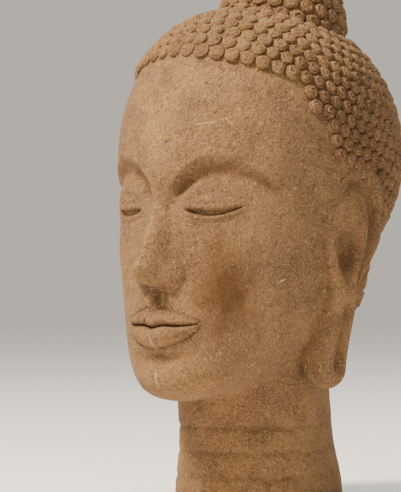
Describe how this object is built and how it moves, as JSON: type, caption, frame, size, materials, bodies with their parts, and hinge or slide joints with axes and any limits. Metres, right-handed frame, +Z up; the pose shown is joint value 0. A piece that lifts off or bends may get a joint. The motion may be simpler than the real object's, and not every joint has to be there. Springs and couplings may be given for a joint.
{
  "type": "stone buddha head",
  "caption": "Carved sandstone Buddha head with snail-curl hair, a domed crown bump and long ear lobes, cut flat below the neck.",
  "frame": {"origin": "middle of the flat underside that the neck is cut to", "axes": "+Z up through the neck to the crown, the face looks towards -Y, +X is the statue's left"},
  "size_m": [0.1878, 0.2361, 0.3639],
  "materials": {
    "sandstone": "dry, fine-grained, matt"
  },
  "bodies": {
    "root": {"buddha_head": "sandstone"}
  },
  "joints": []
}
